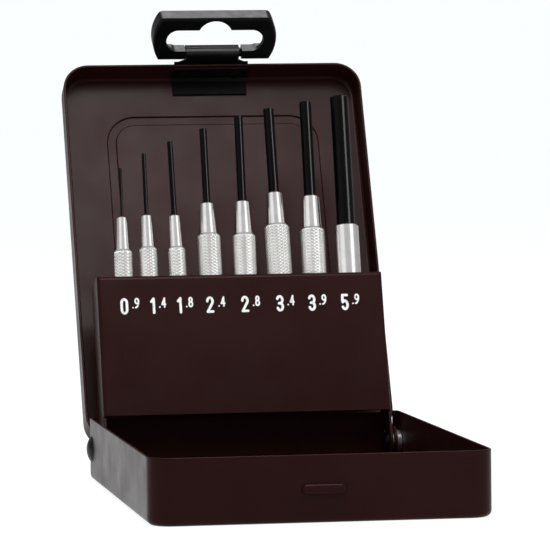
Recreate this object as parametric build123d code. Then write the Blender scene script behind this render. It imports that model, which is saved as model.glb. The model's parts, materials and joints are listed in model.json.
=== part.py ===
"""Eight pin punches with guide sleeves in a hinged sheet-metal case that stands open as an easel.

Millimetres, +Z up.  The tray lies flat on z = 0 with its closed front wall facing -Y, the origin is the
middle of its underside, and the lid and the punch holder stand open on the two rivets at the back.

The lid, the holder and the hanger are each drawn in a frame of their own and then tipped into place:
  lid and holder: origin on the hinge line, Z up along the panel, Y out of its back
  hanger: origin on the middle of its rod, Z up along the plate, Y out of its back
"""
import os
from math import acos, asin, cos, radians, sin, sqrt

from build123d import *

# --- case -------------------------------------------------------------------------------------------
SHEET = 0.8  # every pressed sheet part
EPS = 1e-3
CASE_W, CASE_D = 100.0, 146.0
TRAY_H = 19.6
FRONT_CORNER, REAR_CORNER = 7.0, 2.4  # tray corners in plan
FLOOR_BEND = 2.0
REAR_WALL_HALF, REAR_WALL_H = 45.0, 19.0  # narrower and lower than the tray, so the lid swings past it
REAR_SLOT_FLOOR, REAR_SLOT_OUT = 2.2, 47.9
RIM_ROUND = 0.3  # on the sheet's open rims

# --- hinge line, shared by the lid and the holder -----------------------------------------------------
PIVOT_IN, PIVOT_H = 6.0, 10.0  # in from the tray's back face, up from the floor
PIVOT_Y = CASE_D / 2 - PIVOT_IN
LID_LEAN, HOLDER_LEAN = 26.0, 18.3  # degrees back from upright when open
RIVET_D, HINGE_GAP = 4.0, 0.05
EAR_R = 5.0
RIVET_HEAD_D, RIVET_HEAD_H = 8.6, 1.6
RIVET_TAIL_D, RIVET_TAIL_H, TAIL_CHAMFER = 6.6, 1.1, 0.4
SPACER_D, WASHER_D, HINGE_PLAY = 8.0, 7.0, 0.1

# --- lid ----------------------------------------------------------------------------------------------
LID_RIM = TRAY_H - PIVOT_H + 0.1  # rim plane, 0.1 above the tray's rim when closed
LID_BACK = 19.6  # outer face of the panel
LID_TOP = CASE_D - PIVOT_IN  # outer face of the wall over the tray's front wall
LID_CORNER, LID_EDGE = 8.5, 2.0
NECK_HALF = 47.6  # the hinge end is narrower and goes between the tray's side walls
NECK_ARC_R, NECK_ARC_Z = 9.0, 15.5
NECK_CREASE = 1.5
END_LOW, END_HIGH = -6.0, -1.2  # the end wall slants, so it lies flat on the bench when open
BEAD_HALF, BEAD_TOP, BEAD_BOTTOM, BEAD_CORNER = 34.0, 123.5, 32.0, 8.0
BEAD_W, BEAD_H, BEAD_ROUND = 3.4, 0.5, 0.45

# --- lost-motion pin: the lid's ears pick the holder up ----------------------------------------------
PICKUP_R, PICKUP_AT, PICKUP_D = 7.0, 42.0, 1.6
PICKUP_SLOT_D, PICKUP_SPARE = 1.9, 0.6  # spare is degrees past each end

# --- holder -------------------------------------------------------------------------------------------
HOLDER_HALF = 46.2
HOLDER_FRONT, HOLDER_BACK = -5.0, 9.6
HOLDER_SKIRT, HOLDER_SHELF, HOLDER_TOP = 9.5, 13.2, 55.4
HOLDER_EDGE = 1.3
LINER_GAP = 0.4
LINER_TOP, SOCKET_FLOOR = 21.0, 16.0  # moulded liner on the shelf, one blind socket per punch
PUNCH_Y = 1.8  # row of punches, behind the hinge line
HOLE_GAP = 0.4
SOCKET_GAP = 0.25
MARK_T = 0.12
MARK_Z, MARK_H = 42.5, 5.4
MARK_SMALL, MARK_PEN, MARK_NARROW, MARK_STEP = 0.64, 0.15, 0.46, 20.0
MARK_SPANS = [  # left and right of each number
    (-39.1, -33.0), (-29.8, -24.4), (-21.2, -15.7), (-11.5, -5.3),
    (-0.2, 5.9), (11.1, 17.1), (21.5, 27.5), (32.2, 38.2),
]

# --- latch strap and hanger -----------------------------------------------------------------------------
STRAP_HALF, STRAP_BASE_HALF = 8.9, 12.4
STRAP_OUT = 0.6  # the strap stands this far off the closed tray's front wall
ROD_D, ROD_NECK_D, ROLL_GAP = 4.2, 3.06, 0.12
ROD_HALF = 18.3
KNUCKLE_R = ROD_NECK_D / 2 + ROLL_GAP + SHEET
KNUCKLE_DROP = 2.5  # hanger rod, past the lid's rim
STRAP_RIVET_X, STRAP_RIVET_Y, STRAP_RIVET_D = 8.5, 14.4, 2.4
STRAP_HEAD_IN, STRAP_HEAD_OUT, STRAP_HEAD_CHAMFER = 0.7, 0.5, 0.3
BACKING_T, BACKING_DROP, BACKING_CHAMFER = 0.8, 6.4, 1.4  # plate inside the lid that the strap is riveted through
STRAP_END, ROOT_LOW, ROOT_RISE, ROLL_END = 17.2, 0.9, 1.3, 6.0
NECK_SPARE, HANGER_SHIFT = 0.6, 0.4  # play along the rod, and where the hanger stands in it
HANGER_TIP = 30.0  # degrees forward of upright at rest
HANGER_FRONT, HANGER_WEB, HANGER_RIM = -2.3, 2.0, 3.5
HANGER_TOP, HANGER_TOP_HALF, HANGER_WIDE_HALF, HANGER_WIDE_Z = 14.0, 18.2, 20.7, 6.0
HANGER_RIM_T, HANGER_RIM_TOP = 1.2, 1.0
HANGER_TOP_R, HANGER_FOOT_R, HANGER_EDGE_R = 2.0, 1.2, 0.8
BAR_R = 2.3  # the foot is rounded to this about the rod, to clear the strap as the hanger folds
SLOT_HALF, SLOT_LOW, SLOT_TOP, ARCH_R, ARCH_Z = 16.25, 1.7, 9.6, 5.9, 7.1
BUMP_L, BUMP_H, BUMP_OUT, BUMP_Z = 13.0, 3.0, 1.3, 9.8

# --- punches: pin, tip height, x, sideways lean, grip diameter, nose tip and root, grip top, sleeve top ---
PUNCHES = [
    ("0_9", 0.9, 93.3, -36.9, 1.0, 6.0, 3.5, 4.3, 65.5, 76.6),
    ("1_4", 1.4, 98.0, -28.5, 0.4, 6.0, 3.6, 4.4, 66.3, 77.1),
    ("1_8", 1.8, 102.0, -19.0, -0.3, 6.0, 3.8, 4.5, 66.2, 76.9),
    ("2_4", 2.4, 106.2, -8.6, 0.3, 8.0, 4.7, 6.1, 70.3, 80.8),
    ("2_8", 2.8, 110.4, 2.5, 0.9, 8.0, 5.0, 6.1, 70.1, 81.2),
    ("3_4", 3.4, 112.7, 14.1, -0.3, 8.4, 5.3, 6.3, 73.1, 84.0),
    ("3_9", 3.9, 114.9, 25.1, 0.7, 8.2, 5.8, 6.6, 71.8, 82.6),
    ("5_9", 5.9, 116.6, 36.4, 0.7, 8.0, 8.0, 8.0, 72.5, 72.5),
]
AIM_Z = 38.0  # each punch leans about this height, half way between the two perforated plates
SLEEVE_FOOT = 45.0
PIN_FOOT = 22.0
BORE_GAP = 0.05
RING_DROP, RING_H, RING_T, RING_GAP = 9.0, 0.9, 0.5, 0.02
HEAD_LESS = 0.5
FOOT_GAP = 0.15
PIN_CHAMFER = 0.12  # of the pin's radius
HEAD_CHAMFER, GRIP_CHAMFER, NOSE_CHAMFER = 0.5, 0.35, 0.3

OPEN_LID = Location((0, PIVOT_Y, PIVOT_H), (-LID_LEAN, 0, 0))
OPEN_HOLDER = Location((0, PIVOT_Y, PIVOT_H), (-HOLDER_LEAN, 0, 0))


def box(x, y, z):
    """A box from three (low, high) pairs."""
    size = [high - low for low, high in (x, y, z)]
    middle = [(high + low) / 2 for low, high in (x, y, z)]
    return Pos(*middle) * Box(*size)


def side_plate(face, x):
    """A face drawn in (Y, Z), made solid between two X values."""
    return Pos(x[0], 0, 0) * extrude(Plane.YZ * face, x[1] - x[0])


def front_plate(face, y):
    """A face drawn in (X, Z), made solid between two Y values."""
    return Pos(0, y[1], 0) * extrude(Plane.XZ * face, y[1] - y[0])


def cross_pin(d, x, y=0.0, z=0.0):
    """A cylinder along X between two X values."""
    return Pos((x[0] + x[1]) / 2, y, z) * Rot(0, 90, 0) * Cylinder(d / 2, x[1] - x[0])


def both(shape):
    """The shape and its mirror image across the middle of the case."""
    return [shape, mirror(shape, Plane.YZ)]


def write(name, *shapes):
    """One STEP file per named piece."""
    solids = [solid for shape in shapes for solid in shape.solids()]
    export_step(solids[0] if len(solids) == 1 else Compound(children=solids), f"parts/{name}.step")


# --- tray ---------------------------------------------------------------------------------------------
def tray_form(inset):
    """The tray's outside, or its inside when inset by the sheet."""
    half, deep = CASE_W / 2 - inset, CASE_D / 2 - inset
    form = box((-half, half), (-deep, deep), (inset, TRAY_H + inset))
    upright = form.edges().filter_by(Axis.Z)
    form = fillet(upright.sort_by(Axis.Y)[:2], FRONT_CORNER - inset)
    upright = form.edges().filter_by(Axis.Z).group_by(Axis.Y)[-1]
    form = fillet(upright, REAR_CORNER - inset)
    return fillet(form.faces().sort_by(Axis.Z)[0].edges(), FLOOR_BEND - inset)


def tray():
    shell = tray_form(0) - tray_form(SHEET)
    back = (CASE_D / 2 - FLOOR_BEND, CASE_D)
    rim = [e for e in shell.edges() if abs(e.center().Z - TRAY_H) < EPS]
    shell = fillet(rim, RIM_ROUND)
    for slot in both(box((REAR_WALL_HALF, REAR_SLOT_OUT), back, (REAR_SLOT_FLOOR, CASE_D))):
        shell -= slot
    shell -= box((-REAR_WALL_HALF, REAR_WALL_HALF), back, (REAR_WALL_H, CASE_D))
    face_y = -CASE_D / 2
    bump = front_plate(SlotOverall(BUMP_L, BUMP_H), (-BUMP_OUT, SHEET / 2))
    bump = fillet(bump.faces().sort_by(Axis.Y)[0].edges(), BUMP_OUT * 0.7)
    recess = front_plate(SlotOverall(BUMP_L - 2 * SHEET, BUMP_H - 2 * SHEET), (-BUMP_OUT / 2, SHEET))
    shell += Pos(0, face_y, BUMP_Z) * bump
    shell -= Pos(0, face_y, BUMP_Z) * recess
    return shell - cross_pin(RIVET_D, (-CASE_W, CASE_W), PIVOT_Y, PIVOT_H)


# --- lid ----------------------------------------------------------------------------------------------
def lid_outline(inset):
    """The lid in plan, from its slanted end up: neck, arcs out to the full width, rounded top corners."""
    half, neck, top = CASE_W / 2 - inset, NECK_HALF - inset, LID_TOP - inset
    arc_r, corner = NECK_ARC_R - inset, LID_CORNER - inset
    arc_x = half - arc_r
    turn = acos((neck - arc_x) / arc_r)
    join_z = NECK_ARC_Z - arc_r * sin(turn)
    mid = (arc_x + arc_r * cos(turn / 2), NECK_ARC_Z - arc_r * sin(turn / 2))
    bulge = corner * (1 - sqrt(0.5))
    foot = END_LOW - 1.0
    right = [
        Line((neck, foot), (neck, join_z)),
        ThreePointArc((neck, join_z), mid, (half, NECK_ARC_Z)),
        Line((half, NECK_ARC_Z), (half, top - corner)),
        ThreePointArc((half, top - corner), (half - bulge, top - bulge), (half - corner, top)),
    ]
    left = [mirror(edge, Plane.YZ) for edge in right]
    across = [Line((-neck, foot), (neck, foot)), Line((half - corner, top), (corner - half, top))]
    return make_face(Wire.combine([e for part in right + left + across for e in part.edges()])[0])


def lid_form(inset):
    """The lid's outside, or its inside when inset by the sheet."""
    rim = LID_RIM - inset
    form = front_plate(lid_outline(inset), (rim, LID_BACK - inset))
    creases = [e for e in form.edges().filter_by(Axis.Y) if 0 < e.center().Z < NECK_ARC_Z - 1]
    form = fillet(creases, NECK_CREASE + inset)
    slant = Vector(0, LID_BACK - LID_RIM, END_HIGH - END_LOW).normalized()
    inward = Vector(0, -slant.Z, slant.Y)
    low = Vector(0, LID_RIM, END_LOW) + inward * inset
    below = [low - slant * 20, low + slant * 40, low + slant * 40 - inward * 30, low - slant * 20 - inward * 30]
    form -= side_plate(make_face(Polyline([(p.Y, p.Z) for p in below], close=True)), (-CASE_W, CASE_W))
    panel_edges = form.faces().sort_by(Axis.Y)[-1].edges()
    return fillet(panel_edges, LID_EDGE - inset)


def bead(width, y):
    """The rounded rectangle pressed into the panel."""
    tall, middle = BEAD_TOP - BEAD_BOTTOM, (BEAD_TOP + BEAD_BOTTOM) / 2
    outer = RectangleRounded(2 * BEAD_HALF + width, tall + width, BEAD_CORNER + width / 2)
    inner = RectangleRounded(2 * BEAD_HALF - width, tall - width, BEAD_CORNER - width / 2)
    return Pos(0, 0, middle) * front_plate(outer - inner, y)


def pickup_at(angle):
    """Where the pick-up pin stands, as (Y, Z) round the hinge line."""
    return PICKUP_R * sin(radians(angle)), PICKUP_R * cos(radians(angle))


def at_depth(shape, y):
    """The edges that lie in a plane square to Y."""
    ends = [(edge, [edge @ part for part in (0, 0.37, 1)]) for edge in shape.edges()]
    return [edge for edge, points in ends if all(abs(point.Y - y) < EPS for point in points)]


def lid():
    shell = lid_form(0) - lid_form(SHEET)
    shell = fillet(at_depth(shell, LID_RIM), RIM_ROUND)
    shell += bead(BEAD_W, (LID_BACK - 0.1, LID_BACK + BEAD_H))
    shell = fillet(at_depth(shell, LID_BACK + BEAD_H), BEAD_ROUND)
    panel_in = LID_BACK - SHEET
    shell -= bead(BEAD_W - SHEET, (panel_in - 0.1, panel_in + BEAD_H))
    mouth = [e for e in at_depth(shell, panel_in) if BEAD_BOTTOM - 3 < e.center().Z < BEAD_TOP + 3]
    mouth = [e for e in mouth if abs(e.center().X) < BEAD_HALF + 3]
    shell = fillet(mouth, BEAD_ROUND)
    root = Line((LID_RIM + 1.0, -1.5), (LID_RIM + 1.0, 9.0))
    ear = make_hull(Circle(EAR_R).edges() + root.edges())
    for plate in both(side_plate(ear, LID_EAR)):
        shell += plate
    shell -= cross_pin(RIVET_D + 2 * HINGE_GAP, (-CASE_W, CASE_W))
    for rivet in both(Pos(STRAP_RIVET_X, STRAP_RIVET_Y, LID_TOP) * Cylinder(STRAP_RIVET_D / 2, 4 * SHEET)):
        shell -= rivet
    return shell - cross_pin(PICKUP_D, (-CASE_W, CASE_W), *pickup_at(PICKUP_AT))


# --- hinge hardware ---------------------------------------------------------------------------------------
LID_EAR = (NECK_HALF - SHEET, NECK_HALF)
HOLDER_EAR = (HOLDER_HALF - SHEET, HOLDER_HALF)


def pivot_rivet():
    """The right-hand rivet: domed head outside the tray, upset tail inside the holder's ear."""
    outside, tail = CASE_W / 2, HOLDER_EAR[0] - HINGE_PLAY
    end, peak = tail - RIVET_TAIL_H, outside + RIVET_HEAD_H
    shank_r, tail_r, head_r = RIVET_D / 2, RIVET_TAIL_D / 2, RIVET_HEAD_D / 2
    corners = [(0, peak), (0, end), (tail_r - TAIL_CHAMFER, end), (tail_r, end + TAIL_CHAMFER), (tail_r, tail)]
    corners += [(shank_r, tail), (shank_r, outside), (head_r, outside)]
    ball = (head_r**2 + RIVET_HEAD_H**2) / (2 * RIVET_HEAD_H)
    turn = asin(head_r / ball) / 2
    dome = ThreePointArc(corners[-1], (ball * sin(turn), peak - ball * (1 - cos(turn))), corners[0])
    profile = make_face(Wire.combine(Polyline(corners).edges() + dome.edges())[0])
    return Pos(0, PIVOT_Y, PIVOT_H) * Rot(0, 90, 0) * revolve(Plane.XZ * profile, Axis.Z)


def washer(d, x):
    ring = cross_pin(d, x) - cross_pin(RIVET_D + 2 * HINGE_GAP, (0, CASE_W))
    return Pos(0, PIVOT_Y, PIVOT_H) * ring


def pickup_pin():
    y, z = pickup_at(PICKUP_AT)
    return cross_pin(PICKUP_D, (HOLDER_EAR[0] - HINGE_PLAY, LID_EAR[1]), y, z)


# --- holder ---------------------------------------------------------------------------------------------
def punch_place(x, lean):
    """The punch's own frame: Z along it, with z measured like the holder's at the height AIM_Z."""
    return Location((x, PUNCH_Y, AIM_Z), (0, lean, 0)) * Pos(0, 0, -AIM_Z)


def holder():
    walls = (-HOLDER_HALF, HOLDER_HALF), (HOLDER_FRONT, HOLDER_BACK), (HOLDER_SKIRT, HOLDER_TOP)
    form = box(*walls)
    front = form.faces().sort_by(Axis.Y)[0].edges()
    form = fillet(front.filter_by(Axis.Z) + front.filter_by(Axis.X).sort_by(Axis.Z)[-1:], HOLDER_EDGE)
    inner = (-HOLDER_HALF + SHEET, HOLDER_HALF - SHEET)
    behind = (HOLDER_FRONT + SHEET, HOLDER_BACK + 1)
    form -= box(inner, behind, (HOLDER_SHELF + SHEET, HOLDER_TOP - SHEET))
    form -= box(inner, behind, (HOLDER_SKIRT - 1, HOLDER_SHELF))
    cheek_foot = Line((HOLDER_FRONT + 1, HOLDER_SKIRT), (HOLDER_BACK, HOLDER_SKIRT))
    ear = make_hull(Circle(EAR_R).edges() + cheek_foot.edges())
    for plate in both(side_plate(ear, HOLDER_EAR)):
        form += plate
    form -= cross_pin(RIVET_D + 2 * HINGE_GAP, (-CASE_W, CASE_W))
    swing = LID_LEAN - HOLDER_LEAN
    arc = CenterArc((0, 0), PICKUP_R, 90 - PICKUP_AT - swing - PICKUP_SPARE, swing + 2 * PICKUP_SPARE)
    form -= side_plate(SlotArc(arc, PICKUP_SLOT_D), (-CASE_W, CASE_W))
    for punch in PUNCHES:
        hole = Pos(0, 0, HOLDER_TOP) * Cylinder(grip_of(punch) / 2 + HOLE_GAP, 4 * SHEET)
        form -= punch_place(punch) * hole
    return form


def liner():
    """The moulded liner: one blind socket per punch."""
    side, skin = HOLDER_HALF - SHEET - LINER_GAP, SHEET + LINER_GAP
    form = box((-side, side), (HOLDER_FRONT + skin, HOLDER_BACK), (HOLDER_SHELF + SHEET, LINER_TOP))
    form = chamfer(form.faces().sort_by(Axis.Z)[-1].edges(), LINER_GAP)
    for punch in PUNCHES:
        socket = Pos(0, 0, SOCKET_FLOOR) * Cylinder(
            head_of(punch) / 2 + SOCKET_GAP, LINER_TOP, align=(Align.CENTER, Align.CENTER, Align.MIN)
        )
        form -= punch_place(punch) * socket
    return form


# --- numbers on the holder ------------------------------------------------------------------------------
# Each figure is pen strokes in a cell 1 wide and 2 high; an arc is (x, y, radius across, radius up, from, to).
STROKES = {
    "0": [("arc", 0.5, 1.5, 0.5, 0.5, 0, 180), ("arc", 0.5, 0.5, 0.5, 0.5, 180, 360), (0, 0.5, 0, 1.5), (1, 0.5, 1, 1.5)],
    "1": [(0.6, 0, 0.6, 2), (0.6, 2, 0.15, 1.6)],
    "2": [("arc", 0.5, 1.5, 0.5, 0.5, -40, 180), (0.88, 1.18, 0, 0), (0, 0, 1, 0)],
    "3": [("arc", 0.5, 1.5, 0.5, 0.5, -105, 160), ("arc", 0.5, 0.51, 0.5, 0.51, -160, 110)],
    "4": [(0.75, 0, 0.75, 2), (0.75, 2, 0, 0.6), (0, 0.6, 1.05, 0.6)],
    "5": [(0.95, 2, 0.1, 2), (0.1, 2, 0.05, 1.1), ("arc", 0.5, 0.6, 0.5, 0.6, -150, 140)],
    "8": [("arc", 0.5, 1.51, 0.42, 0.49, 5, 365), ("arc", 0.5, 0.54, 0.5, 0.54, 0, 360)],
    "9": [("arc", 0.5, 1.45, 0.5, 0.55, 0, 360), ("arc", 0.1, 1.45, 0.9, 1.45, -90, 0)],
}


def figure(name, height, pen):
    """One figure with its lower left corner at the origin, drawn with a round pen."""
    wide, tall = height * MARK_NARROW - pen, height - pen
    strokes = []
    for stroke in STROKES[name]:
        if stroke[0] != "arc":
            x0, y0, x1, y1 = stroke
            points = [(x0, y0), (x1, y1)]
        else:
            _, x, y, across, up, start, end = stroke
            steps = max(4, round((end - start) / MARK_STEP))
            turns = [radians(start + (end - start) * i / steps) for i in range(steps + 1)]
            points = [(x + across * cos(turn), y + up * sin(turn)) for turn in turns]
        points = [(pen / 2 + x * wide, pen / 2 + y * tall / 2) for x, y in points]
        for first, second in zip(points, points[1:]):
            dot = Circle(pen / 2)
            strokes.append(make_hull((Pos(*first) * dot).edges() + (Pos(*second) * dot).edges()))
    drawn = strokes[0]
    for stroke in strokes[1:]:
        drawn += stroke
    return drawn


def size_marks():
    """The pin diameters, printed below the punches: a tall whole figure and a small raised decimal."""
    marks = []
    for punch, (left, right) in zip(PUNCHES, MARK_SPANS):
        whole, part = punch[0].split("_")
        small = MARK_H * MARK_SMALL
        pen, fine = MARK_H * MARK_PEN, small * MARK_PEN
        marks.append(Pos(left, MARK_Z) * figure(whole, MARK_H, pen))
        up = MARK_Z + MARK_H - small
        decimal = figure(part, small, fine)
        marks.append(Pos(right - small * MARK_NARROW, up) * decimal)
        marks.append(Pos(right - small * MARK_NARROW - fine, up + fine / 2) * Circle(fine / 2))
    return [front_plate(mark, (HOLDER_FRONT - MARK_T, HOLDER_FRONT)) for mark in marks]


# --- punches ----------------------------------------------------------------------------------------------
def grip_of(punch):
    return punch[5]


def head_of(punch):
    """The head is a little thinner than the sleeve's grip, so it lifts out through the same hole."""
    return grip_of(punch) - HEAD_LESS


def punch_place(punch):
    """The punch's own frame: Z up its middle, heights as in the holder where it crosses AIM_Z."""
    return Location((punch[3], PUNCH_Y, AIM_Z), (0, punch[4], 0)) * Pos(0, 0, -AIM_Z)


def turned(profile):
    """A turned part from (radius, height) corners."""
    return revolve(Plane.XZ * make_face(Polyline(profile, close=True)), Axis.Z)


def pin(punch):
    radius, tip = punch[1] / 2, punch[2]
    edge = radius * PIN_CHAMFER
    return turned([(0, PIN_FOOT), (radius, PIN_FOOT), (radius, tip - edge), (radius - edge, tip), (0, tip)])


def head(punch):
    radius, bore = head_of(punch) / 2, punch[1] / 2
    foot, top = SOCKET_FLOOR + FOOT_GAP, SLEEVE_FOOT - FOOT_GAP * 2
    edge = HEAD_CHAMFER
    rim = min(edge, (radius - bore) / 2)
    corners = [(0, foot), (radius - edge, foot), (radius, foot + edge), (radius, top - rim), (radius - rim, top)]
    return turned(corners + [(bore, top), (bore, PIN_FOOT), (0, PIN_FOOT)])


def sleeve(punch):
    _, pin_d, _, _, _, grip_d, nose_tip, nose_root, grip_top, top = punch
    bore, grip = pin_d / 2 + BORE_GAP, grip_d / 2
    edge = GRIP_CHAMFER
    corners = [(bore, SLEEVE_FOOT), (grip - edge, SLEEVE_FOOT), (grip, SLEEVE_FOOT + edge)]
    if top > grip_top:
        lip = min(NOSE_CHAMFER, (nose_tip / 2 - bore) / 2)
        corners += [(grip, grip_top - edge * 2), (grip - edge, grip_top), (nose_root / 2, grip_top)]
        corners += [(nose_tip / 2, top - lip), (nose_tip / 2 - lip, top), (bore, top)]
    else:
        corners += [(grip, top - edge), (grip - edge, top), (bore, top)]
    low, high, deep = ring_span(punch)
    return turned(corners + [(bore, high), (bore + deep, high), (bore + deep, low), (bore, low)])


def ring_span(punch):
    """Bottom, top and depth of the groove for the grip ring."""
    low = punch[8] - RING_DROP
    return low, low + RING_H, RING_T


def grip_ring(punch):
    low, high, deep = ring_span(punch)
    inner, outer = punch[1] / 2 + RING_GAP, punch[1] / 2 + BORE_GAP + deep
    return turned([(inner, low), (outer, low), (outer, high), (inner, high)])


# --- latch strap and hanger -----------------------------------------------------------------------------------
KNUCKLE_AT = LID_RIM - KNUCKLE_DROP, LID_TOP + STRAP_OUT + KNUCKLE_R  # (Y, Z) of the rod in the lid's frame


def strap():
    """Sheet strap riveted to the lid's end wall and rolled round the rod."""
    y, z = KNUCKLE_AT
    low, joggle = LID_TOP, STRAP_OUT / 3
    near, far = LID_RIM + joggle, LID_RIM + STRAP_OUT * 2
    side = [(STRAP_END, low), (far, low), (near, low + STRAP_OUT), (y, low + STRAP_OUT)]
    side += [(y, low + STRAP_OUT + SHEET), (near - joggle, low + STRAP_OUT + SHEET)]
    side += [(far - joggle, low + SHEET), (STRAP_END, low + SHEET)]
    form = side_plate(make_face(Polyline(side, close=True)), (-STRAP_BASE_HALF, STRAP_BASE_HALF))
    root_y, bend = LID_RIM - ROOT_LOW, sqrt(0.5)
    corner = STRAP_BASE_HALF, root_y + ROOT_RISE
    middle = STRAP_BASE_HALF - (STRAP_BASE_HALF - STRAP_HALF) * bend, root_y + ROOT_RISE * bend
    plan = [
        Line((STRAP_HALF, root_y), (STRAP_HALF, -CASE_W)),
        Line((STRAP_HALF, -CASE_W), (CASE_W, -CASE_W)),
        Line((CASE_W, -CASE_W), (CASE_W, corner[1])),
        Line((CASE_W, corner[1]), corner),
        ThreePointArc(corner, middle, (STRAP_HALF, root_y)),
    ]
    waste = make_face(Wire.combine([e for part in plan for e in part.edges()])[0])
    for piece in both(Pos(0, 0, LID_TOP - SHEET) * extrude(waste, SHEET * 4)):
        form -= piece
    roll = Circle(KNUCKLE_R) - Circle(KNUCKLE_R - SHEET)
    gap = Polygon((0, 0), (0, -KNUCKLE_R * 3), (KNUCKLE_R * 3, -KNUCKLE_R * 3), (KNUCKLE_R * 3, -ROLL_END), align=None)
    form += side_plate(Pos(y, z) * (roll - gap), (-STRAP_HALF, STRAP_HALF))
    for hole in both(Pos(STRAP_RIVET_X, STRAP_RIVET_Y, LID_TOP) * Cylinder(STRAP_RIVET_D / 2, SHEET * 4)):
        form -= hole
    return form


def backing():
    """Bent plate in the corner of the lid's end wall and panel."""
    wall, panel = LID_TOP - SHEET, LID_BACK - SHEET
    side = [(LID_RIM + BACKING_T, wall), (panel - BACKING_CHAMFER, wall), (panel, wall - BACKING_CHAMFER)]
    side += [(panel, wall - BACKING_DROP), (panel - BACKING_T, wall - BACKING_DROP)]
    side += [(panel - BACKING_T, wall - BACKING_CHAMFER - BACKING_T / 2)]
    side += [(panel - BACKING_CHAMFER - BACKING_T / 2, wall - BACKING_T), (LID_RIM + BACKING_T, wall - BACKING_T)]
    form = side_plate(make_face(Polyline(side, close=True)), (-STRAP_BASE_HALF, STRAP_BASE_HALF))
    for hole in both(Pos(STRAP_RIVET_X, STRAP_RIVET_Y, wall) * Cylinder(STRAP_RIVET_D / 2, BACKING_T * 4)):
        form -= hole
    return form


def strap_rivet(x):
    """Flat rivet through the strap, the lid's end wall and the backing plate."""
    low, high = LID_TOP - SHEET - BACKING_T, LID_TOP + SHEET
    shank, head_r = STRAP_RIVET_D / 2, STRAP_RIVET_D * 0.85
    corners = [(0, low - STRAP_HEAD_IN), (head_r, low - STRAP_HEAD_IN), (head_r, low), (shank, low)]
    corners += [(shank, high), (head_r, high), (head_r - STRAP_HEAD_CHAMFER, high + STRAP_HEAD_OUT)]
    return Pos(x, STRAP_RIVET_Y, 0) * turned(corners + [(0, high + STRAP_HEAD_OUT)])


def hanger_outline(inset, top):
    """The plate seen from the front, from under the rod up to the given height."""
    foot = -ROD_D / 2 - inset
    narrow, wide, head = ROD_HALF - inset, HANGER_WIDE_HALF - inset, HANGER_TOP_HALF - inset
    right = [Line((0, foot), (narrow, foot)), ThreePointArc((narrow, foot), (wide, HANGER_WIDE_Z), (head, top))]
    right.append(Line((head, top), (0, top)))
    left = [mirror(part, Plane.YZ) for part in right]
    return make_face(Wire.combine([e for part in right + left for e in part.edges()])[0])


def corners_along(form, upper):
    """The form's edges that run front to back at its four corners, either the upper two or the lower two."""
    edges = [e for e in form.edges() if abs(e.tangent_at(0.5).Y) > 1 - EPS and abs(e.center().X) > 1]
    return [e for e in edges if (e.center().Z > 0) == upper]


def hanger():
    """Moulded plate with a hanging slot, a hollow back, and a bar each side of the strap that carries the rod."""
    plate = front_plate(hanger_outline(0, HANGER_TOP), (HANGER_FRONT, HANGER_RIM))
    plate = fillet(corners_along(plate, True), HANGER_TOP_R)
    plate = fillet(corners_along(plate, False), HANGER_FOOT_R)
    plate = fillet(plate.faces().sort_by(Axis.Y)[0].edges(), HANGER_EDGE_R)
    inside = front_plate(hanger_outline(HANGER_RIM_T, HANGER_TOP - HANGER_RIM_TOP), (HANGER_FRONT, CASE_W))
    web_back, bar = HANGER_FRONT + HANGER_WEB, ROD_D / 2
    plate -= inside & box((-CASE_W, CASE_W), (web_back, CASE_W), (bar, CASE_W))
    plate -= inside & box((-CASE_W, CASE_W), (bar, CASE_W), (-CASE_W, CASE_W))
    neck = STRAP_HALF + NECK_SPARE
    heel = box((-CASE_W, CASE_W), (-CASE_W, CASE_W), (-CASE_W, 0))
    plate -= heel - cross_pin(BAR_R * 2, (-CASE_W, CASE_W))
    plate -= box((-neck, neck), (-CASE_W, CASE_W), (-CASE_W, SLOT_LOW + 1))
    slot = Pos(0, (SLOT_TOP + SLOT_LOW) / 2) * SlotOverall(2 * SLOT_HALF, SLOT_TOP - SLOT_LOW)
    window = slot + Pos(0, ARCH_Z) * Circle(ARCH_R)
    plate -= front_plate(window, (-CASE_W, CASE_W))
    return plate + cross_pin(ROD_NECK_D, (-neck - 1, neck + 1))


# --- the pieces, in place ---------------------------------------------------------------------------------------
def main():
    os.makedirs("parts", exist_ok=True)
    write("tray_shell", tray())
    for name, shape in (
        ("pivot_rivet", pivot_rivet()),
        ("spacer_washer", washer(SPACER_D, (LID_EAR[1] + HINGE_PLAY, CASE_W / 2 - SHEET - HINGE_PLAY))),
        ("inner_washer", washer(WASHER_D, (HOLDER_EAR[1] + HINGE_PLAY, LID_EAR[0] - HINGE_PLAY))),
    ):
        right, left = both(shape)
        write(name + "_right", right)
        write(name + "_left", left)
    write("lid_shell", OPEN_LID * lid())
    right, left = both(pickup_pin())
    write("pickup_pin_right", OPEN_LID * right)
    write("pickup_pin_left", OPEN_LID * left)
    write("hanger_strap", OPEN_LID * strap())
    write("strap_backing", OPEN_LID * backing())
    write("strap_rivets", OPEN_LID * strap_rivet(STRAP_RIVET_X), OPEN_LID * strap_rivet(-STRAP_RIVET_X))
    hanger_place = OPEN_LID * Pos(HANGER_SHIFT, *KNUCKLE_AT) * Rot(LID_LEAN + HANGER_TIP, 0, 0)
    write("hanger", hanger_place * hanger())
    write("holder_channel", OPEN_HOLDER * holder())
    write("shelf_liner", OPEN_HOLDER * liner())
    write("size_marks", *[OPEN_HOLDER * mark for mark in size_marks()])
    for punch in PUNCHES:
        place = OPEN_HOLDER * punch_place(punch)
        name = "punch_" + punch[0]
        write(name + "_pin", place * pin(punch))
        write(name + "_head", place * head(punch))
        write(name + "_sleeve", place * sleeve(punch))
        write(name + "_grip_ring", place * grip_ring(punch))


main()
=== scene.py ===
"""Looks for the pin punch set in its open easel case: paint, plating, knurling, moulded plastic and studio."""

import json
from math import cos, pi, radians, sin, tau

import bpy
import numpy as np
from mathutils import Matrix, Vector


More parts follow.
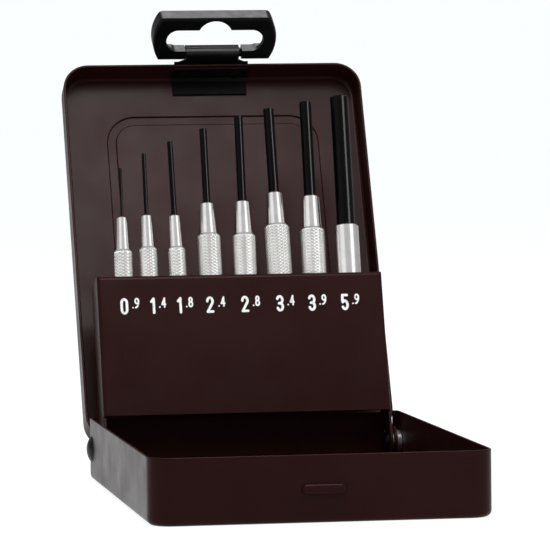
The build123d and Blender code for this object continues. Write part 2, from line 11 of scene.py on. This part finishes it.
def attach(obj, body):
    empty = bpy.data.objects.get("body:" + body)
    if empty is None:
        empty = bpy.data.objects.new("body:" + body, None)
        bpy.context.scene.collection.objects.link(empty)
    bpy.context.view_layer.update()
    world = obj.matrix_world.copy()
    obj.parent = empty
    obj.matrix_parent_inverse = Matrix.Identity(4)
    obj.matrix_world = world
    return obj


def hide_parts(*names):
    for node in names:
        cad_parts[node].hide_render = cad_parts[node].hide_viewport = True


MM = 0.001
PUNCHES = ("0_9", "1_4", "1_8", "2_4", "2_8", "3_4", "3_9", "5_9")

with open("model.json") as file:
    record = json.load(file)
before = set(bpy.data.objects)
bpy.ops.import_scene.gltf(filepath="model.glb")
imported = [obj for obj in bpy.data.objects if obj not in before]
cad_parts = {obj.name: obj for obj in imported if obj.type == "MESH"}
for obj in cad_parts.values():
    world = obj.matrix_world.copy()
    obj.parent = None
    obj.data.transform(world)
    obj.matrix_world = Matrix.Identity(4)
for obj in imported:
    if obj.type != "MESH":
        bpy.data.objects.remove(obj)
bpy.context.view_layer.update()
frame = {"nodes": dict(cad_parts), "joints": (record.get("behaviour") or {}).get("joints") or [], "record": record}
nodes = frame["nodes"]
joints = {joint["name"]: joint for joint in frame["joints"]}


# --- node graphs ------------------------------------------------------------------------------------------
class Graph:
    """A material and short calls for the nodes that build it."""

    def __init__(self, name):
        self.material = bpy.data.materials.new(name)
        self.material.use_nodes = True
        self.tree = self.material.node_tree
        self.tree.nodes.clear()
        self.shader = self.node("ShaderNodeBsdfPrincipled")
        output = self.node("ShaderNodeOutputMaterial")
        self.link(self.shader.outputs["BSDF"], output.inputs["Surface"])
        self.place = self.node("ShaderNodeTexCoord").outputs["Object"]

    def node(self, kind, **values):
        made = self.tree.nodes.new(kind)
        for name, value in values.items():
            setattr(made, name, value)
        return made

    def link(self, start, end):
        self.tree.links.new(start, end)

    def set(self, **values):
        """Constant values straight on the shader's sockets, spaces in their names as underscores."""
        for name, value in values.items():
            self.shader.inputs[name.replace("_", " ")].default_value = value

    def noise(self, scale, detail=3.0, stretch=(1, 1, 1)):
        mapping = self.node("ShaderNodeMapping")
        mapping.inputs["Scale"].default_value = stretch
        self.link(self.place, mapping.inputs["Vector"])
        noise = self.node("ShaderNodeTexNoise")
        noise.inputs["Scale"].default_value = scale
        noise.inputs["Detail"].default_value = detail
        self.link(mapping.outputs["Vector"], noise.inputs["Vector"])
        return noise.outputs["Fac"]

    def ramp(self, source, low, high, first, second):
        """Colour from first to second as source goes from low to high."""
        ramp = self.node("ShaderNodeValToRGB")
        for element, at, colour in zip(ramp.color_ramp.elements, (low, high), (first, second)):
            element.position = at
            element.color = (*colour, 1)
        self.link(source, ramp.inputs["Fac"])
        return ramp.outputs["Color"]

    def span(self, source, low, high):
        """A number from low to high as source goes from 0.3 to 0.7."""
        spread = self.node("ShaderNodeMapRange")
        for name, value in (("From Min", 0.3), ("From Max", 0.7), ("To Min", low), ("To Max", high)):
            spread.inputs[name].default_value = value
        self.link(source, spread.inputs["Value"])
        return spread.outputs["Result"]

    def bump(self, source, strength, distance, under=None):
        bump = self.node("ShaderNodeBump")
        bump.inputs["Strength"].default_value = strength
        bump.inputs["Distance"].default_value = distance
        self.link(source, bump.inputs["Height"])
        if under is not None:
            self.link(under, bump.inputs["Normal"])
        return bump.outputs["Normal"]

    def wire(self, **sources):
        for name, source in sources.items():
            self.link(source, self.shader.inputs[name.replace("_", " ")])
        return self.material


def case_paint():
    """Satin baked enamel, brown-black, with a faint orange peel."""
    g = Graph("case_paint")
    g.set(Specular_IOR_Level=0.05)
    cloud = g.noise(35, 4)
    colour = g.ramp(cloud, 0.3, 0.7, (0.0156, 0.0034, 0.0035), (0.0196, 0.0048, 0.0048))
    peel = g.bump(g.noise(1400, 2), 0.12, 0.03 * MM)
    return g.wire(Base_Color=colour, Roughness=g.span(g.noise(90, 3), 0.27, 0.36), Normal=peel)


def black_enamel():
    """Smooth black lacquer of the strap and the rivets, also on the black plate inside the lid below the strap."""
    g = Graph("black_enamel")
    g.set(Specular_IOR_Level=0.14)
    colour = g.ramp(g.noise(160), 0.3, 0.7, (0.0011, 0.0010, 0.0010), (0.0020, 0.0018, 0.0018))
    rough = g.span(g.noise(90), 0.28, 0.34)
    grain = g.bump(g.noise(2200), 0.05, 0.01 * MM)
    return g.wire(Base_Color=colour, Roughness=rough, Normal=grain)


def nickel():
    """Satin nickel plate on turned steel."""
    g = Graph("nickel")
    g.set(Metallic=1.0)
    colour = g.ramp(g.noise(220, 4), 0.3, 0.7, (0.86, 0.85, 0.83), (0.97, 0.965, 0.95))
    lines = g.bump(g.noise(160, 2, (1, 1, 60)), 0.05, 0.01 * MM)
    return g.wire(Base_Color=colour, Roughness=g.span(g.noise(300, 3), 0.16, 0.26), Normal=lines)


def black_steel():
    """Polished, black-oxided tool steel."""
    g = Graph("black_steel")
    g.set(Specular_IOR_Level=0.09)
    colour = g.ramp(g.noise(260), 0.3, 0.7, (0.0008, 0.0007, 0.0007), (0.0016, 0.0014, 0.0014))
    rough = g.span(g.noise(420), 0.15, 0.22)
    grain = g.bump(g.noise(1500), 0.06, 0.01 * MM)
    return g.wire(Base_Color=colour, Roughness=rough, Normal=grain)


def bare_steel():
    """Plain steel washers and small pins."""
    g = Graph("steel")
    g.set(Metallic=1.0)
    colour = g.ramp(g.noise(300), 0.3, 0.7, (0.42, 0.41, 0.40), (0.58, 0.57, 0.56))
    rough = g.span(g.noise(600), 0.28, 0.42)
    grain = g.bump(g.noise(1800), 0.1, 0.02 * MM)
    return g.wire(Base_Color=colour, Roughness=rough, Normal=grain)


def hanger_plastic():
    """Black moulded plastic with a fine spark texture."""
    g = Graph("hanger_plastic")
    g.set(Specular_IOR_Level=0.09)
    colour = g.ramp(g.noise(120), 0.3, 0.7, (0.0010, 0.0009, 0.0009), (0.0024, 0.0022, 0.0022))
    rough = g.span(g.noise(350), 0.30, 0.42)
    grain = g.bump(g.noise(2600), 0.2, 0.02 * MM)
    return g.wire(Base_Color=colour, Roughness=rough, Normal=grain)


def liner_rubber():
    """Dull black moulding that the punches stand in."""
    g = Graph("liner")
    colour = g.ramp(g.noise(200), 0.3, 0.7, (0.008, 0.008, 0.008), (0.016, 0.016, 0.016))
    rough = g.span(g.noise(700), 0.6, 0.8)
    grain = g.bump(g.noise(3000), 0.3, 0.03 * MM)
    return g.wire(Base_Color=colour, Roughness=rough, Normal=grain)


def grip_rubber():
    """Black rubber of the rings inside the sleeves."""
    g = Graph("grip_rubber")
    colour = g.ramp(g.noise(400), 0.3, 0.7, (0.006, 0.006, 0.006), (0.012, 0.012, 0.012))
    rough = g.span(g.noise(900), 0.5, 0.7)
    grain = g.bump(g.noise(3000), 0.2, 0.02 * MM)
    return g.wire(Base_Color=colour, Roughness=rough, Normal=grain)


def mark_ink():
    """White pad-printed ink, a little thin in places."""
    g = Graph("mark_ink")
    colour = g.ramp(g.noise(900, 4), 0.32, 0.5, (0.62, 0.60, 0.60), (0.86, 0.86, 0.86))
    rough = g.span(g.noise(900), 0.45, 0.6)
    grain = g.bump(g.noise(3500), 0.15, 0.01 * MM)
    return g.wire(Base_Color=colour, Roughness=rough, Normal=grain)


FINISHES = {
    "case_paint": case_paint(),
    "black_enamel": black_enamel(),
    "nickel": nickel(),
    "black_steel": black_steel(),
    "steel": bare_steel(),
    "hanger_plastic": hanger_plastic(),
    "liner": liner_rubber(),
    "grip_rubber": grip_rubber(),
    "mark_ink": mark_ink(),
}


def dress(obj, finish):
    """Give a piece one finish, in place of whatever it had."""
    obj.data.materials.clear()
    obj.data.materials.append(FINISHES[finish])


for entry in frame["record"]["subparts"]:
    dress(nodes[entry["node"]], entry["material_slot"])


# --- turned pieces ----------------------------------------------------------------------------------------
SAME = 2e-6  # two measurements closer than this are one
SHARP = radians(32)  # edges sharper than this stay crisp
PIN_SEGMENTS, PLAIN_SEGMENTS = 64, 96
PLAIN_RINGS = 4  # the outside of a sleeve with no knurl and no nose has no more rings than this
KNURL_PITCH, KNURL_DEPTH, KNURL_FADE = 1.05 * MM, 0.19 * MM, 0.35 * MM
KNURL_CUTS = 5  # mesh steps across one groove
KNURL_SLOPE = 1.35  # above 1, each diamond keeps a small flat top


def rings_of(node, axis):
    """Every ring of a turned CAD node as (height along its axis, radius), and its middle at height 0."""
    points = np.unique(np.round([v.co for v in nodes[node].data.vertices], 7), axis=0)
    heights = points @ axis
    middle = points[heights < heights.min() + SAME].mean(0)
    middle = middle - axis * (middle @ axis)
    radii = np.linalg.norm(points - middle - np.outer(heights, axis), axis=1)
    rings = []
    for ring in sorted(zip(heights, radii)):
        if all(abs(ring[0] - h) > SAME or abs(ring[1] - r) > SAME for h, r in rings):
            rings.append(ring)
    return rings, middle


def outside_of(rings):
    """The outside only, from the foot up: going down, no ring is narrower than one above it."""
    chain, widest = [], 0.0
    for height, radius in sorted(rings, key=lambda ring: (-round(ring[0] / SAME), ring[1])):
        if radius >= widest - SAME:
            chain.append((height, radius))
            widest = max(widest, radius)
    return chain[::-1]


def turn(name, rows, middle, axis, segments, closed):
    """A turned mesh. A row is (height, radius or an array of radii round the ring)."""
    axis = np.array(axis)
    across = np.cross(axis, (0.0, 1.0, 0.0))
    across /= np.linalg.norm(across)
    along = np.cross(axis, across)
    angle = np.arange(segments) * tau / segments
    ring = np.outer(np.cos(angle), across) + np.outer(np.sin(angle), along)
    points = [middle + axis * height + ring * np.reshape(radius, (-1, 1)) for height, radius in rows]
    count = len(rows)
    faces = []
    for row in range(count if closed else count - 1):
        low, high = row * segments, (row + 1) % count * segments
        for i in range(segments):
            j = (i + 1) % segments
            faces.append((low + j, low + i, high + i, high + j))
    if not closed:
        faces += [tuple(range(segments)), tuple(reversed(range((count - 1) * segments, count * segments)))]
    mesh = bpy.data.meshes.new(name)
    mesh.from_pydata(np.concatenate(points).tolist(), [], faces)
    mesh.validate()
    mesh.shade_smooth()
    mesh.set_sharp_from_angle(angle=SHARP)
    made = bpy.data.objects.new(name, mesh)
    bpy.context.scene.collection.objects.link(made)
    return made


def stand_in(made, node, body, finish):
    """Put a turned piece on its body in place of its CAD node."""
    dress(made, finish)
    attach(made, body)
    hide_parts(node)


def knurled(low, high, radius, segments, teeth):
    """Rows of a diamond knurl between two heights: two crossing sets of V grooves, fading at both ends."""
    step = KNURL_PITCH / KNURL_CUTS
    turns = np.arange(segments) * teeth / segments
    rows = []
    for height in np.arange(low + step, high - step / 2, step):
        rise = height / KNURL_PITCH
        ridge = np.minimum(*(1 - abs(2 * ((turns + way * rise) % 1) - 1) for way in (1, -1)))
        fade = min(1.0, (height - low) / KNURL_FADE, (high - height) / KNURL_FADE)
        rows.append((height, radius - KNURL_DEPTH * fade * np.clip(1 - KNURL_SLOPE * ridge, 0, 1)))
    return rows


def sleeve_piece(punch):
    """A sleeve, knurled over its widest part unless it's the plain one."""
    node, body = f"punch_{punch}_sleeve", f"sleeve_{punch}"
    axis = np.array(joints[f"sleeve_{punch}_slide"]["axis"], float)
    rings, middle = rings_of(node, axis)
    chain = outside_of(rings)
    foot = sorted(radius for height, radius in rings if height < rings[0][0] + SAME)
    rows = [(rings[0][0], radius) for radius in (foot[0], foot[-1])] + chain
    widest = max(radius for _, radius in chain)
    at = [i for i, (_, radius) in enumerate(rows) if radius > widest - SAME]
    plain = len(chain) <= PLAIN_RINGS
    teeth = round(tau * widest / KNURL_PITCH)
    segments = PLAIN_SEGMENTS if plain else teeth * KNURL_CUTS
    if not plain:
        rows[at[0] + 1 : at[0] + 1] = knurled(rows[at[0]][0], rows[at[-1]][0], widest, segments, teeth)
    stand_in(turn(f"sleeve_{punch}_turned", rows, middle, axis, segments, True), node, body, "nickel")


def pin_piece(punch):
    """A round pin, turned from its own outline."""
    node = f"punch_{punch}_pin"
    axis = np.array(joints[f"punch_{punch}_lift"]["axis"], float)
    rings, middle = rings_of(node, axis)
    made = turn(f"pin_{punch}_turned", outside_of(rings), middle, axis, PIN_SEGMENTS, False)
    stand_in(made, node, f"punch_{punch}", "black_steel")


for punch in PUNCHES:
    sleeve_piece(punch)
    pin_piece(punch)


# --- studio -----------------------------------------------------------------------------------------------
FRONT_Y, BACK_Y = -1.0, 0.35  # the room's fill changes between these two directions
FRONT_FILL, BACK_FILL = 0.64, 0.45
BACKDROP = (0.966, 0.995, 0.994, 1)  # what the camera sees of the room: the same white as the far floor
FLOOR_SIZE, FLOOR_DROP = 12, 0.0001
PAPER_COLOUR, PAPER_TINT = (0.15, 0.15, 0.15, 1), (0.97, 1.0, 1.0, 1)
PAPER_ROUGHNESS, PAPER_SPECULAR, PAPER_GLOW = 0.9, 0.1, 0.92
CAMERA_AT = Vector((-0.199, -1.212, 0.1263))
CAMERA_YAW, CAMERA_TILT, CAMERA_ROLL = radians(9.25), radians(2.75), radians(-0.62)
SENSOR, LENS, CLIP_END = 36, 267.2, 50


def studio():
    """White surroundings, a little brighter in front of the case than behind it."""
    scene = bpy.context.scene
    world = bpy.data.worlds.new("studio")
    scene.world = world
    world.use_nodes = True
    tree = world.node_tree
    tree.nodes.clear()
    output = tree.nodes.new("ShaderNodeOutputWorld")
    seen, around = (tree.nodes.new("ShaderNodeBackground") for _ in range(2))
    seen.inputs["Color"].default_value = BACKDROP
    mix = tree.nodes.new("ShaderNodeMixShader")
    ray = tree.nodes.new("ShaderNodeLightPath")
    direction = tree.nodes.new("ShaderNodeTexCoord")
    split = tree.nodes.new("ShaderNodeSeparateXYZ")
    ramp = tree.nodes.new("ShaderNodeMapRange")
    spans = (("From Min", FRONT_Y), ("From Max", BACK_Y), ("To Min", FRONT_FILL), ("To Max", BACK_FILL))
    for name, value in spans:
        ramp.inputs[name].default_value = value
    link = tree.links.new
    link(direction.outputs["Generated"], split.inputs["Vector"])
    link(split.outputs["Y"], ramp.inputs["Value"])
    link(ramp.outputs["Result"], around.inputs["Strength"])
    link(ray.outputs["Is Camera Ray"], mix.inputs["Fac"])
    link(around.outputs["Background"], mix.inputs[1])
    link(seen.outputs["Background"], mix.inputs[2])
    link(mix.outputs["Shader"], output.inputs["Surface"])


def floor():
    """A plain pale paper floor, just under the case."""
    bpy.ops.mesh.primitive_plane_add(size=FLOOR_SIZE, location=(0, 0, -FLOOR_DROP))
    plane = bpy.context.object
    plane.name = "floor"
    paper = bpy.data.materials.new("paper")
    paper.use_nodes = True
    tree = paper.node_tree
    shader = tree.nodes["Principled BSDF"]
    shader.inputs["Base Color"].default_value = PAPER_COLOUR
    shader.inputs["Roughness"].default_value = PAPER_ROUGHNESS
    shader.inputs["Specular IOR Level"].default_value = PAPER_SPECULAR
    shader.inputs["Emission Color"].default_value = PAPER_TINT
    shader.inputs["Emission Strength"].default_value = PAPER_GLOW
    plane.data.materials.append(paper)


def soft_box(name, centre, aim, size, radiance, diffuse=True, glossy=True, only=None):
    """A soft box of the given radiance, hidden from the camera. With only, it lights those nodes alone."""
    light = bpy.data.lights.new(name, "AREA")
    light.shape = "RECTANGLE"
    light.size, light.size_y = size
    light.energy = radiance * pi * size[0] * size[1]
    lamp = bpy.data.objects.new(name, light)
    bpy.context.scene.collection.objects.link(lamp)
    lamp.location = centre
    lamp.rotation_euler = (Vector(aim) - Vector(centre)).to_track_quat("-Z", "Y").to_euler()
    lamp.visible_camera, lamp.visible_diffuse, lamp.visible_glossy = False, diffuse, glossy
    if only:
        lit = bpy.data.collections.new(name)
        for node in only:
            lit.objects.link(bpy.data.objects[node])
        lamp.light_linking.receiver_collection = lit


def camera():
    """A long lens, a little left of the case and just above it."""
    yaw, tilt, roll = CAMERA_YAW, CAMERA_TILT, CAMERA_ROLL
    forward = Vector((sin(yaw) * cos(tilt), cos(yaw) * cos(tilt), -sin(tilt)))
    right = forward.cross(Vector((0, 0, 1))).normalized()
    up = right.cross(forward)
    across = right * cos(roll) + up * sin(roll)
    upward = up * cos(roll) - right * sin(roll)
    data = bpy.data.cameras.new("camera")
    data.sensor_width, data.lens, data.clip_end = SENSOR, LENS, CLIP_END
    body = bpy.data.objects.new("camera", data)
    bpy.context.scene.collection.objects.link(body)
    facing = Matrix((across, upward, -forward)).transposed().to_4x4()
    body.matrix_world = Matrix.Translation(CAMERA_AT) @ facing
    bpy.context.scene.camera = body


bpy.context.scene.view_settings.view_transform = "Standard"
studio()
floor()
PAINTED = [entry["node"] for entry in frame["record"]["subparts"] if entry["material_slot"] == "case_paint"]
PINS = [f"pin_{punch}_turned" for punch in PUNCHES]
CASE, PANEL, STRAP = (0, 0.06, 0.1), (0, 0.11, 0.09), (0, 0.136, 0.14)
RIGHT_STAND = (0.75, -0.62, 0.75)
soft_box("overhead", (0.1, -0.2, 1.25), (0.1, -0.1, 0), (1.6, 1.2), 4.5, glossy=False)
soft_box("sheen", (-0.01, -0.21, 0.52), PANEL, (0.3, 0.26), 13.5, diffuse=False, only=PAINTED)
soft_box("strip", RIGHT_STAND, CASE, (0.36, 1.5), 17, diffuse=False, only=PINS)
soft_box("right", RIGHT_STAND, CASE, (0.6, 1.5), 0.85, diffuse=False)
soft_box("left", (-0.95, -0.5, 0.6), CASE, (0.9, 1.2), 0.42, diffuse=False)
soft_box("roll", (0, -0.4, 0.95), STRAP, (1.6, 1.5), 11, diffuse=False, only=["hanger_strap"])
soft_box("back", (0, 0.59, 1.03), STRAP, (0.6, 0.6), 9, diffuse=False, only=["hanger"])
camera()
